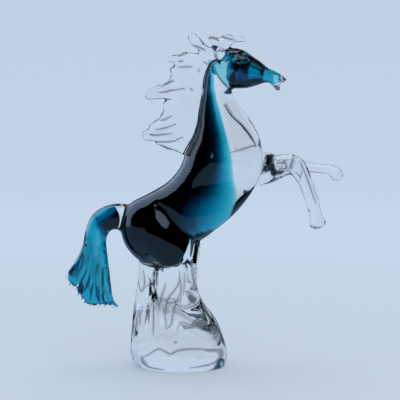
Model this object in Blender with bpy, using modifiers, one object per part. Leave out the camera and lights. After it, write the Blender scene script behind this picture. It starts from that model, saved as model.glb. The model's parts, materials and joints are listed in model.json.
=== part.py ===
"""A rearing horse figurine of hot-worked solid glass, 340 mm high.

The horse, its mane, tail, legs and heavy foot are gathers of glass that were fused while
hot, so the figurine is one solid. It faces +X and stands on the flat underside of the foot,
with the origin at the middle of that face. Places are in shares of the figurine's height:
GRID of them make the height, so at the real size one share is a millimetre.
"""

import math

import bmesh
import bpy
from mathutils import Vector

COLLECTION = "rearing_horse_figurine"
NODE = "glass_horse"

# Driving sizes, in metres
HEIGHT = 0.340
BARREL_WIDTH = 0.062
HAUNCH_WIDTH = 0.070
NECK_WIDTH = 0.030
HEAD_WIDTH = 0.027
EYE_WIDTH = 0.0060
EAR_LENGTH = 0.015
MANE_THICKNESS = 0.0064
FORELEG_SPREAD = 0.032
FORELEG_WIDTH = 0.017
FRONT_HOOF_WIDTH = 0.014
HIND_LEG_SPREAD = 0.030
HIND_LEG_WIDTH = 0.026
TAIL_WIDTH = 0.021
TAIL_STRAND_WIDTH = 0.0075
FOOT_LENGTH = 0.098
FOOT_WIDTH = 0.068

# One share of the height, and how finely the gathers are fused and thinned out
GRID = 340
SHARE = HEIGHT / GRID
HEAVY_VOXEL = 2.0 * SHARE
HEAVY_ROUNDS = 22
FINE_VOXEL = 1.4 * SHARE
FINE_ROUNDS = 7
FACES_KEPT = 9300
STEPS_IN_SPAN = 4
ROUND_SIDES = 36
LOCK_SIDES = 14

GLASS_COLOUR = (0.62, 0.78, 0.86, 1.0)


def at(x, z, y=0.0):
    """A place from its shares forward and up; y is already in metres, to the left side."""
    return Vector((x * SHARE, y, z * SHARE))


def between(before, first, second, after, t):
    """A value on the smooth curve from first to second, by its two neighbours."""
    return 0.5 * (
        2 * first
        + (second - before) * t
        + (2 * before - 5 * first + 4 * second - after) * t ** 2
        + (3 * first - before - 3 * second + after) * t ** 3
    )


def smooth_stations(stations):
    """Stations of a gather, with more between them on a smooth curve."""
    ends = [stations[0]] + list(stations) + [stations[-1]]
    fine = []
    for i in range(1, len(ends) - 2):
        for step in range(STEPS_IN_SPAN):
            t = step / STEPS_IN_SPAN
            fine.append([between(*values, t) for values in zip(*ends[i - 1 : i + 3])])
    fine.append(list(stations[-1]))
    return fine


def add_gather(bm, stations, sides=ROUND_SIDES, end_reach=None):
    """A gather of glass along (centre, half height, half width) stations, with domed ends.

    The height is across the gather in the plane of its side view, the width is along Y, and
    the last dome reaches out by end_reach where that is given.
    """
    fine = smooth_stations(stations)
    centres = [station[0] for station in fine]
    rings = []
    for i, (centre, half_height, half_width) in enumerate(fine):
        along = (centres[min(i + 1, len(fine) - 1)] - centres[max(i - 1, 0)]).normalized()
        up = Vector((0, 1, 0)).cross(along).normalized()
        side = along.cross(up)
        rings.append((centre, up, side, along, half_height, half_width))

    def dome(ring, outward, reach=None):
        centre, up, side, along, half_height, half_width = ring
        reach = reach or 0.8 * min(half_height, half_width)
        for lean in (20, 40, 60, 80):
            shrink, push = math.cos(math.radians(lean)), math.sin(math.radians(lean))
            place = centre + along * outward * reach * push
            yield place, up, side, along, half_height * shrink, half_width * shrink

    first_dome = list(dome(rings[0], -1))[::-1]
    rings = first_dome + rings + list(dome(rings[-1], 1, end_reach))
    loops = []
    for centre, up, side, along, half_height, half_width in rings:
        loop = []
        for k in range(sides):
            turn = 2 * math.pi * k / sides
            place = centre + up * half_height * math.cos(turn) + side * half_width * math.sin(turn)
            loop.append(bm.verts.new(place))
        loops.append(loop)
    for one, two in zip(loops, loops[1:]):
        for k in range(sides):
            bm.faces.new((one[k], one[k - 1], two[k - 1], two[k]))
    for loop, turn_over in ((loops[0], False), (loops[-1], True)):
        bm.faces.new(loop[::-1] if turn_over else loop)


def mirrored_gathers(bm, stations, spread):
    """The same gather on the right side and on the left."""
    for flank in (-1, 1):
        moved = [
            (centre + Vector((0, flank * spread / 2, 0)), half_height, half_width)
            for centre, half_height, half_width in stations
        ]
        add_gather(bm, moved)


def add_body(bm):
    """Neck, barrel and rump as one gather."""
    neck = ((38.5, 304, 8, 0.28), (37.5, 291, 12.5, 0.36), (38.5, 276, 15, 0.42),
            (40.5, 259.5, 20.5, 0.52), (44.5, 244.5, 28, 0.66))
    barrel = ((47, 227, 35.5, 0.40), (44, 205.5, 39, 0.47), (31.5, 182.5, 36.5, 0.50),
              (11.5, 162.5, 33.8, 0.50), (-11, 147, 35, 0.48), (-27, 137.5, 36.5, 0.45))
    stations = [(at(x, z), h * SHARE, w * NECK_WIDTH) for x, z, h, w in neck]
    stations += [(at(x, z), h * SHARE, w * BARREL_WIDTH) for x, z, h, w in barrel]
    add_gather(bm, stations, end_reach=30 * SHARE)


def add_muscles(bm):
    """The thighs, and the shoulders that the forelegs are drawn from."""
    thigh = ((-27, 150, 19, 0.17), (-20, 141, 24, 0.22), (-11, 128, 23, 0.22), (-5, 115, 17, 0.17))
    stations = [(at(x, z), h * SHARE, w * HAUNCH_WIDTH) for x, z, h, w in thigh]
    mirrored_gathers(bm, stations, HAUNCH_WIDTH * 0.52)
    shoulder = ((52, 212, 20, 0.20), (64, 206.5, 20, 0.20), (76, 204, 16, 0.17))
    stations = [(at(x, z), h * SHARE, w * BARREL_WIDTH) for x, z, h, w in shoulder]
    mirrored_gathers(bm, stations, BARREL_WIDTH * 0.44)


def add_head(bm):
    """The head with its open mouth, and two ears laid back."""
    head = ((40, 302, 9, 0.30), (46.5, 301, 17, 0.44), (55.5, 301, 20, 0.50), (67, 298, 17.3, 0.45),
            (78, 296, 12.6, 0.36), (87, 294.2, 7.6, 0.27), (92, 293, 6.4, 0.24), (98, 290.5, 6.0, 0.24))
    add_gather(bm, [(at(x, z), h * SHARE, w * HEAD_WIDTH) for x, z, h, w in head])
    upper_lip = ((97, 292, 4.6, 0.22), (102, 290.5, 3.8, 0.19), (105, 289, 2.4, 0.13))
    lower_lip = ((95, 288, 4.0, 0.20), (97.5, 283.5, 3.2, 0.17), (99, 280.5, 2.4, 0.13))
    for lip in (upper_lip, lower_lip):
        add_gather(bm, [(at(x, z), h * SHARE, w * HEAD_WIDTH) for x, z, h, w in lip], LOCK_SIDES)
    throat = ((50, 286, 6, 0.2), (51.5, 281.5, 2.2, 0.1))
    add_gather(bm, [(at(x, z), h * SHARE, w * HEAD_WIDTH) for x, z, h, w in throat], LOCK_SIDES)
    for flank in (-1, 1):
        eye = at(66, 309.5, flank * 0.40 * HEAD_WIDTH)
        bead = bmesh.ops.create_uvsphere(
            bm, u_segments=LOCK_SIDES, v_segments=LOCK_SIDES, radius=EYE_WIDTH / 2
        )
        bmesh.ops.translate(bm, verts=bead["verts"], vec=eye)
        root = at(42, 314, flank * 0.24 * HEAD_WIDTH)
        lean = Vector((-0.55, flank * 0.35, 0.76)).normalized()
        ear = ((0.0, 4.6, 3.4), (0.45, 4.0, 2.8), (0.85, 2.2, 1.6))
        stations = [(root + lean * far * EAR_LENGTH, h * SHARE, w * SHARE) for far, h, w in ear]
        add_gather(bm, stations, LOCK_SIDES)


def add_lock(bm, route, flank=0.0):
    """A lock of the mane along (x, z, half height) places, thinning to its tip."""
    last = len(route) - 1
    stations = []
    for i, (x, z, half_height) in enumerate(route):
        half_width = MANE_THICKNESS * (0.62 - 0.27 * i / last)
        place = at(x, z, flank * MANE_THICKNESS * 0.2 * math.sin(math.pi * i / last))
        stations.append((place, half_height * SHARE, half_width))
    add_gather(bm, stations, LOCK_SIDES)


def add_mane(bm):
    """A thin sheet along the crest, drawn out into locks, and the forelock above the brow."""
    sheet = ((14, 314, 13), (8, 296, 19), (5, 279, 22), (3, 262, 20), (-2, 248, 22),
             (-6, 234, 21), (-2, 223, 12))
    stations = [(at(x, z), h * SHARE, MANE_THICKNESS * 0.36) for x, z, h in sheet]
    add_gather(bm, stations)
    locks = (
        ((35, 311, 6), (23, 322, 5.6), (12.5, 333.5, 4.8)),
        ((30, 318, 3.6), (21, 322.5, 3.2), (12.5, 326.5, 2.6)),
        ((29, 306, 6), (11, 312, 4.8), (-9, 310, 3.6)),
        ((28, 296, 6), (8, 300, 5.4), (-6.5, 299, 4.2)),
        ((24, 284, 6), (4, 289, 5.2), (-5, 291, 4.4)),
        ((22, 276, 6.5), (1, 284, 5.2), (-18, 282, 3.8), (-30, 277.5, 2.6)),
        ((20, 267, 6), (-1, 275, 5), (-21, 274, 3.8), (-31, 272.5, 2.6)),
        ((18, 256, 6.5), (0, 263.5, 5.4), (-14, 264, 4.6)),
        ((15, 245, 6), (-3, 251.5, 5), (-18, 248.5, 3.6), (-28, 243, 2.6)),
        ((13, 237, 6), (-7, 243, 4.8), (-25, 239.5, 3.5), (-35, 236, 2.6)),
        ((10, 228, 5.5), (-9, 233, 4.2), (-27, 231.5, 3), (-34, 231.5, 2.2)),
        ((7, 220, 5.5), (-7, 224, 4.2), (-21, 227, 2.6)),
    )
    for i, route in enumerate(locks):
        add_lock(bm, route, flank=(-1, 1)[i % 2])
    forelock = (
        ((46, 318, 7), (46, 326, 6), (57, 330, 3.6), (65.5, 329, 2.4)),
        ((38, 317, 6), (39, 325, 6), (31, 332, 2.8)),
        ((42, 322, 6), (45, 330, 4.4), (51, 332, 3)),
    )
    for i, route in enumerate(forelock):
        add_lock(bm, route, flank=(1, -1)[i % 2])


def add_forelegs(bm):
    """The right foreleg folded down at the knee, and the left one reaching forward."""
    half = FORELEG_WIDTH / 2
    hoof = FRONT_HOOF_WIDTH / 2
    folded = (
        (66, 203, 22.5, 1.2 * half, 0.75), (79, 201.5, 17.5, 1.15 * half, 0.9),
        (90, 202.8, 14, 1.05 * half, 1), (102, 206, 11.2, 0.95 * half, 1), (112, 207.5, 10, 0.9 * half, 1),
        (119, 202.5, 9.2, 0.85 * half, 1), (125, 191, 7.3, 0.72 * half, 1),
        (131, 175.5, 6.9, 0.66 * half, 1), (134.5, 163, 6.4, 0.66 * half, 1),
        (136, 157, 6.2, 0.7 * half, 1), (137.5, 151, 7.8, hoof, 1), (138.3, 148.5, 8.4, hoof, 1),
    )
    reaching = (
        (64, 209, 17, 1.2 * half, 0.75), (80, 206.5, 13, 1.1 * half, 0.9),
        (97, 204.5, 9.6, 0.92 * half, 1), (112, 203.5, 7, 0.76 * half, 1), (128, 201.5, 5.4, 0.64 * half, 1),
        (143, 199.5, 4.8, 0.6 * half, 1), (153, 198.5, 5.2, 0.7 * half, 1), (158, 196, 6, 0.9 * hoof, 1),
        (159.5, 192.5, 6.6, hoof, 1),
    )
    for flank, leg in ((-1, folded), (1, reaching)):
        add_gather(bm, [
            (at(x, z, flank * out * FORELEG_SPREAD / 2), h * SHARE, w) for x, z, h, w, out in leg
        ])


def add_hind_legs(bm):
    """Two hind legs, pulled down from the thighs and fused by the web between them."""
    half = HIND_LEG_WIDTH / 2
    right = ((9, 130, 14, 0.9), (12.5, 116, 9.5, 0.75), (12, 100, 7, 0.68), (11, 85, 7.8, 0.72),
             (14, 66, 11, 0.9), (22, 45, 17, 1.1), (29, 27, 17, 1.2))
    left = ((-22, 125, 19, 1.0), (-29, 108, 12, 0.85), (-30.5, 90, 10.5, 0.8), (-33, 66, 12, 0.85),
            (-34, 44, 14, 1.0), (-30, 24, 17, 1.2))
    web = ((-8, 124, 20, 0.8), (-9, 100, 20, 0.5), (-9.5, 82, 20, 0.45), (-8, 60, 24, 0.65),
           (-2, 40, 30, 1.1))
    for flank, leg in ((-1, right), (1, left)):
        add_gather(bm, [
            (at(x, z, flank * HIND_LEG_SPREAD * 0.4), h * SHARE, w * half) for x, z, h, w in leg
        ])
    add_gather(bm, [(at(x, z), h * SHARE, w * half) for x, z, h, w in web])


def add_foot(bm):
    """The heavy rounded foot: (height, middle, half length, half width), in shares of its own size."""
    levels = ((-10, 0.03, 0.38, 0.36), (0, 0.03, 0.44, 0.42), (5, 0.012, 0.484, 0.475),
              (13, 0.0, 0.50, 0.50), (25, -0.01, 0.488, 0.49), (37, -0.035, 0.455, 0.45),
              (48, -0.075, 0.40, 0.38), (57, -0.11, 0.32, 0.28), (64, -0.13, 0.20, 0.17),
              (67, -0.13, 0.06, 0.05))
    loops = []
    for z, middle, half_length, half_width in smooth_stations(levels):
        loop = []
        for k in range(2 * ROUND_SIDES):
            turn = math.pi * k / ROUND_SIDES
            x = (middle + half_length * math.cos(turn)) * FOOT_LENGTH
            y = half_width * FOOT_WIDTH * math.sin(turn)
            loop.append(bm.verts.new((x, y, z * SHARE)))
        loops.append(loop)
    for one, two in zip(loops, loops[1:]):
        for k in range(len(one)):
            bm.faces.new((one[k - 1], one[k], two[k], two[k - 1]))
    bm.faces.new(loops[0][::-1])
    bm.faces.new(loops[-1])


def add_tail(bm):
    """The tail's rod arching from the rump, and the strands that it flares into."""
    half = TAIL_WIDTH / 2
    rod = ((-46, 150, 13.6, 0.9), (-57, 152.5, 13.6, 0.95), (-67, 152.5, 12.6, 1.0),
           (-77, 147, 12.2, 1.0), (-82.5, 136, 11.2, 1.0), (-84.5, 124, 11.6, 0.95),
           (-87, 108, 13, 0.85), (-89.5, 96, 14.5, 0.7), (-91.5, 87, 14.5, 0.5))
    add_gather(bm, [(at(x, z), h * SHARE, w * half) for x, z, h, w in rod])
    tips = ((-108.5, 95.5), (-109, 88.5), (-105, 84.5), (-99, 77), (-96, 71), (-91, 66),
            (-85, 65), (-79, 65), (-73.5, 65.5), (-69.5, 66))
    thick = TAIL_STRAND_WIDTH / 2
    count = len(tips)
    for i, (x, z) in enumerate(tips):
        across = i / (count - 1)
        flank = (-1, 1, 0)[i % 3] * 0.3 * half
        root = (-92 + 15 * across, 124 + 4 * across)
        middle = ((root[0] + x) / 2 + 3 - 4 * across, (root[1] + z) / 2)
        stations = [
            (at(*root, flank * 0.3), thick * 1.1, half * 0.7),
            (at(*middle, flank), thick * 1.15, half * 0.55),
            (at(x, z, flank * 1.2), thick * 0.75, thick * 0.85),
        ]
        add_gather(bm, stations, LOCK_SIDES)
    kick = ((-70, 72, 3.4), (-67.5, 64.5, 3.2), (-63, 61, 2.6))
    add_gather(bm, [(at(x, z), h * SHARE, thick * 0.8) for x, z, h in kick], LOCK_SIDES)


def mesh_of(name, adders):
    """The gathers made by these functions, as one mesh of overlapping bodies."""
    bm = bmesh.new()
    for add in adders:
        add(bm)
    bmesh.ops.recalc_face_normals(bm, faces=bm.faces)
    mesh = bpy.data.meshes.new(name)
    bm.to_mesh(mesh)
    bm.free()
    return mesh


def fuse(obj, voxel, rounds):
    """Modifiers that melt overlapping gathers into one skin and soften where they meet."""
    remesh = obj.modifiers.new("fuse", "REMESH")
    remesh.mode = "VOXEL"
    remesh.voxel_size = voxel
    soften = obj.modifiers.new("soften", "SMOOTH")
    soften.factor = 0.5
    soften.iterations = rounds


def fused_mesh(name, adders, voxel, rounds):
    """The mesh of a group of gathers once they are melted together."""
    obj = bpy.data.objects.new(name, mesh_of(name, adders))
    bpy.context.scene.collection.objects.link(obj)
    fuse(obj, voxel, rounds)
    graph = bpy.context.evaluated_depsgraph_get()
    melted = bpy.data.meshes.new_from_object(obj.evaluated_get(graph))
    bpy.data.objects.remove(obj, do_unlink=True)
    return melted


def thin_out(obj, faces):
    """Leaves about this many triangles on the fused skin."""
    graph = bpy.context.evaluated_depsgraph_get()
    count = sum(len(face.vertices) - 2 for face in obj.evaluated_get(graph).data.polygons)
    thin = obj.modifiers.new("thin", "DECIMATE")
    thin.ratio = min(1.0, faces / count)
    thin.use_collapse_triangulate = True


def cut_underside(obj, helpers):
    """Grinds the foot flat at height zero with a hidden block."""
    depth = 40 * SHARE
    bpy.ops.mesh.primitive_cube_add(size=1, location=(0, 0, -depth / 2))
    block = bpy.context.object
    block.name = "underside_grinder"
    block.scale = (2 * FOOT_LENGTH, 2 * FOOT_WIDTH, depth)
    block.hide_render = True
    block.display_type = "WIRE"
    for collection in block.users_collection:
        collection.objects.unlink(block)
    helpers.objects.link(block)
    grind = obj.modifiers.new("underside", "BOOLEAN")
    grind.operation = "DIFFERENCE"
    grind.solver = "EXACT"
    grind.object = block


def glass_material():
    """Clear glass."""
    material = bpy.data.materials.new("clear_glass")
    material.use_nodes = True
    shader = material.node_tree.nodes["Principled BSDF"]
    shader.inputs["Base Color"].default_value = GLASS_COLOUR
    shader.inputs["Roughness"].default_value = 0.03
    shader.inputs["Metallic"].default_value = 0.0
    shader.inputs["Transmission Weight"].default_value = 1.0
    shader.inputs["IOR"].default_value = 1.5
    material.diffuse_color = GLASS_COLOUR
    return material


def build():
    for obj in list(bpy.data.objects):
        bpy.data.objects.remove(obj, do_unlink=True)
    parts = bpy.data.collections.new(COLLECTION)
    helpers = bpy.data.collections.new("cutters")
    for collection in (parts, helpers):
        bpy.context.scene.collection.children.link(collection)
    heavy_gathers = (add_body, add_muscles, add_hind_legs, add_foot)
    drawn_gathers = (add_head, add_mane, add_forelegs, add_tail)
    heavy = fused_mesh("heavy_gathers", heavy_gathers, HEAVY_VOXEL, HEAVY_ROUNDS)
    drawn = mesh_of("drawn_gathers", drawn_gathers)
    bm = bmesh.new()
    for mesh in (heavy, drawn):
        bm.from_mesh(mesh)
    skin = bpy.data.meshes.new(NODE)
    bm.to_mesh(skin)
    bm.free()
    horse = bpy.data.objects.new(NODE, skin)
    parts.objects.link(horse)
    skin.materials.append(glass_material())
    fuse(horse, FINE_VOXEL, FINE_ROUNDS)
    thin_out(horse, FACES_KEPT)
    cut_underside(horse, helpers)


build()
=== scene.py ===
"""The looks of a rearing horse figurine of hot-worked glass, laid out as a Blender add-on.

A clear skin is melted from the same gathers of glass as the solid it stands for, and its
folds, grooves and seams are pressed into it, with shade painted along them and on a few dark
patches. Sealed inside are the body's cores, which darken from teal to black by their thickness,
and the cores of head and tail, whose tints are laid with painted light and shade. Places
are in shares of the figurine's height: at the real size one share is a millimetre.
"""

import json
import math

import bmesh
import bpy
import numpy as np
from bpy.props import FloatProperty, FloatVectorProperty, PointerProperty
from bpy.types import Operator, Panel, PropertyGroup
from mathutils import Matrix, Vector
from mathutils.bvhtree import BVHTree

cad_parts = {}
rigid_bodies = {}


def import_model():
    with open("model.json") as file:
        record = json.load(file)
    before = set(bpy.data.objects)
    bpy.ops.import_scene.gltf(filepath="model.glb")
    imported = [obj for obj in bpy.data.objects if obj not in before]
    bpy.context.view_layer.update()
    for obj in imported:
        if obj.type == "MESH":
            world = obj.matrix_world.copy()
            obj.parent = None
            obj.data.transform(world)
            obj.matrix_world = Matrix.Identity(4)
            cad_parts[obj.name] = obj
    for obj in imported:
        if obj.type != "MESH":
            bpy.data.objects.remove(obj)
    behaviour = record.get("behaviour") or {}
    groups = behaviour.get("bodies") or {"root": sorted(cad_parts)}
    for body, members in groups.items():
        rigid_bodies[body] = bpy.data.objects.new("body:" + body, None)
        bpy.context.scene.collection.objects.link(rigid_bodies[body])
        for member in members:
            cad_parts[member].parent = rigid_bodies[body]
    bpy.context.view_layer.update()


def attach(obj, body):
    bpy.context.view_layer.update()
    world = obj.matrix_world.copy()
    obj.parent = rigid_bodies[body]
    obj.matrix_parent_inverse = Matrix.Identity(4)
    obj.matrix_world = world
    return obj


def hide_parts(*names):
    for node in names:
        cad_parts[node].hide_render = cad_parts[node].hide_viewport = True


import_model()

bl_info = {
    "name": "Rearing Glass Horse",
    "version": (1, 0, 0),
    "blender": (4, 5, 0),
    "location": "View3D > Sidebar > Glass Horse",
    "description": "Builds a hot-worked glass horse with coloured cores, and its studio",
    "category": "Object",
}

NODE = "glass_horse"
BODY = "root"

# How many shares the height has, and how many steps and sides the gathers are drawn with
GRID = 340
STEPS_IN_SPAN = 4
ROUND_SIDES = 36
LOCK_SIDES = 14
CORE_SIDES = 72
CORE_STEPS = 9
CURL_SIDES = 8
# The voxel, in shares of the height, and the rounds of softening of each skin that is melted
HEAVY_MELT = (2.0, 22)
FINE_MELT = (1.62, 5)
HEAD_CORE_MELT = (0.62, 2)
TAIL_CORE_MELT = (0.75, 3)
CURL_MELT = (0.45, 2)

# How deep under the skin each core stays, in shares of the height
PALE_INSET = 1.4
DARK_INSET = 2.0
HEAD_INSET = 0.8
TAIL_INSET = 0.7
# How much thinner the core's rod and strands are than the tail's
ROD_INSET = 0.8
STRAND_INSET = 0.4

# How far the rump's dome reaches back, in shares of the height
RUMP_REACH = 30
# How far the thighs, shoulders, eyes, ears and hind legs lie from the middle, in shares of the
# haunch's, barrel's and head's width and of the hind legs' spread
THIGH_OUT = 0.26
SHOULDER_OUT = 0.22
EYE_OUT = 0.40
EAR_OUT = 0.24
HIND_LEG_OUT = 0.4
# The way of the left ear from root to tip
EAR_WAY = (-0.55, 0.35, 0.76)
# How far a lock of the mane sways out and how much its half width lessens, in shares of the
# mane's thickness
LOCK_SWAY = 0.2
LOCK_TAPER = 0.05

# The photograph's side in pixels, the camera's sensor in millimetres, and what it looks at
PICTURE = 400
SENSOR = 36.0
AIM = (0.0215, 0.0, 0.1697)

# The floor's radius, between which distances it fades into the backdrop, in metres, and its glow
FLOOR_RADIUS = 1.6
FLOOR_FADE = (0.35, 1.5)
FLOOR_GLOW = 0.50

# How far from a stroke's middle the skin is cut finer, in half widths, one round after another
REFINE_REACH = (1.7, 1.0)
# How wide a stroke is at its ends, as a share of its width
STROKE_END = 0.45

# How many curls the tail ends in, the first one's way out and how far the others fan from it, in
# degrees, by turns how much they bend, and in shares of the height their length, its change and
# how far aside they start
CURLS = 19
CURL_OUT = 195
CURL_FAN = 75
CURL_BENDS = (60, -50, 35)
CURL_REACH = 3.2
CURL_REACH_CHANGE = 1.6
CURL_ASIDE = 3.0
# How far those two go on from one curl to the next, in radians
CURL_REACH_TURN = 2.4
CURL_ASIDE_TURN = 1.9
# How many steps a curl has, how its bend grows along it, and how much thinner its tip is
CURL_STEPS = 4
CURL_BEND_GROWTH = 1.6
CURL_TAPER = 0.35


def length(name, about, metres):
    """A size that a user can change, in metres."""
    return FloatProperty(
        name=name, description=about, default=metres, min=0.0, precision=4, unit="LENGTH"
    )


def colour(name, about, rgb):
    """A colour that a user can change."""
    return FloatVectorProperty(
        name=name, description=about, default=rgb, size=3, min=0.0, max=1.0, subtype="COLOR"
    )


def number(name, about, value):
    """A plain number that a user can change."""
    return FloatProperty(name=name, description=about, default=value, min=0.0)


class HorseSizes(PropertyGroup):
    """The driving sizes of the figurine."""

    height: length("Height", "The figurine's height, which all places are shares of", 0.340)
    barrel_width: length("Barrel width", "Width across the barrel", 0.062)
    haunch_width: length("Haunch width", "Width across the thighs", 0.070)
    neck_width: length("Neck width", "Width that the neck's gathers are shares of", 0.030)
    head_width: length("Head width", "Width across the cheeks", 0.027)
    eye_width: length("Eye width", "Width of an eye's bead", 0.0060)
    ear_length: length("Ear length", "Length of an ear", 0.015)
    mane_thickness: length("Mane thickness", "Thickness of a lock of the mane", 0.0064)
    foreleg_spread: length("Foreleg spread", "Distance between the forelegs", 0.032)
    foreleg_width: length("Foreleg width", "Width of a foreleg at the forearm", 0.017)
    front_hoof_width: length("Front hoof width", "Width of a front hoof", 0.014)
    hind_leg_spread: length("Hind leg spread", "Distance between the hind legs", 0.030)
    hind_leg_width: length("Hind leg width", "Width of a hind leg", 0.026)
    tail_width: length("Tail width", "Width across the tail's rod", 0.021)
    tail_strand_width: length("Tail strand width", "Width of one strand of the tail", 0.0075)
    foot_length: length("Foot length", "Length of the heavy foot", 0.098)
    foot_width: length("Foot width", "Width of the heavy foot", 0.068)


class GlassColours(PropertyGroup):
    """What the glass takes from the light that crosses it."""

    clear: colour("Clear glass", "What clear glass lets through at each face", (0.985, 0.995, 1.0))
    # Painted shade: the dark colour that clear glass is darkened towards in its folds and seams, on a few
    # dark patches and towards its outline
    fold: colour("Fold", "What a deep fold or seam lets through", (0.004, 0.007, 0.010))
    tint: colour("Pale tint", "What the pale core's glass lets through", (0.0, 0.78, 0.853))
    curl: colour("Curls", "What the thin curls of the tail let through", (0.12, 0.55, 0.66))
    pale_density: number("Pale density", "Density of the pale core, per metre", 190.0)
    smoke: colour("Dark tint", "What the dark core's glass lets through", (0.0, 0.50, 0.56))
    dark_density: number("Dark density", "Density of the dark core, per metre", 680.0)


class StudioLook(PropertyGroup):
    """The camera, backdrop and lamps."""

    camera_height: FloatProperty(
        name="Camera elevation", description="Angle above the horizon", default=math.radians(8),
        subtype="ANGLE",
    )
    camera_distance: length("Camera distance", "Distance from camera to figurine", 1.5)
    lens: number("Lens", "Focal length in millimetres", 135.0)
    backdrop_top: colour("Backdrop top", "Backdrop above the figurine", (0.509, 0.617, 0.745))
    backdrop_low: colour("Backdrop low", "Backdrop near the floor", (0.552, 0.658, 0.807))
    floor: colour("Floor", "Floor round the figurine", (0.503, 0.592, 0.690))
    floor_matt: colour("Matt floor", "What the floor throws back of the lamp", (0.40, 0.411, 0.400))
    gap: colour("Gap", "Dark gaps in the studio that show through the glass", (0.07, 0.10, 0.14))
    table: colour("Table", "Light that the glass mirrors from below and in front", (0.22, 0.43, 0.68))
    window: FloatVectorProperty(
        name="Window", description="Light that the glass mirrors from the left", size=3,
        default=(1.3, 1.85, 2.6), min=0.0, subtype="COLOR",
    )


class Value:
    """A number in a shader, on which Python's operators add Math nodes."""

    def __init__(self, board, socket):
        self.board, self.socket = board, socket

    def _with(self, operation, *operands):
        sockets = dict(enumerate(operands))
        return self.board.value("ShaderNodeMath", {"operation": operation}, sockets)

    def __add__(self, other):
        return self._with("ADD", self, other)

    def __sub__(self, other):
        return self._with("SUBTRACT", self, other)

    def __rsub__(self, other):
        return self._with("SUBTRACT", other, self)

    def __mul__(self, other):
        return self._with("MULTIPLY", self, other)

    __radd__, __rmul__ = __add__, __mul__

    def rising(self, low, high):
        """0 below low and 1 above high, with a smooth step between."""
        settings = {"interpolation_type": "SMOOTHSTEP"}
        return self.board.value(
            "ShaderNodeMapRange", settings, {"Value": self, "From Min": low, "From Max": high}
        )


class Board:
    """The nodes of one material or world."""

    def __init__(self, owner):
        self.owner = owner
        owner.use_nodes = True
        self.tree = owner.node_tree
        self.tree.nodes.clear()

    def node(self, kind, settings=None, sockets=None):
        """A node with its settings and its sockets' values or links."""
        made = self.tree.nodes.new(kind)
        for name, value in (settings or {}).items():
            setattr(made, name, value)
        for name, value in (sockets or {}).items():
            if isinstance(name, int):
                socket = made.inputs[name]
            else:
                socket = next(s for s in made.inputs if s.name == name and s.enabled)
            if isinstance(value, Value):
                value = value.socket
            if isinstance(value, bpy.types.NodeSocket):
                self.tree.links.new(value, socket)
            else:
                socket.default_value = value
        return made

    def value(self, kind, settings=None, sockets=None, output=0):
        """The number that a node gives."""
        return Value(self, self.node(kind, settings, sockets).outputs[output])

    def mixed(self, share, first, second):
        """A colour that goes from first to second as share goes from 0 to 1."""
        sides = [value if not isinstance(value, tuple) else (*value, 1.0) for value in (first, second)]
        sockets = {"Factor": share, "A": sides[0], "B": sides[1]}
        made = self.node("ShaderNodeMix", {"data_type": "RGBA"}, sockets)
        return next(s for s in made.outputs if s.enabled)


def between(before, first, second, after, t):
    """A value on the smooth curve from first to second, by its two neighbours."""
    return 0.5 * (
        2 * first
        + (second - before) * t
        + (2 * before - 5 * first + 4 * second - after) * t ** 2
        + (3 * first - before - 3 * second + after) * t ** 3
    )


def smooth_stations(stations, steps=STEPS_IN_SPAN):
    """Stations of a gather, with more between them on a smooth curve."""
    ends = [stations[0]] + list(stations) + [stations[-1]]
    fine = []
    for i in range(1, len(ends) - 2):
        for step in range(steps):
            t = step / steps
            fine.append([between(*values, t) for values in zip(*ends[i - 1 : i + 3])])
    fine.append(list(stations[-1]))
    return fine


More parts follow.
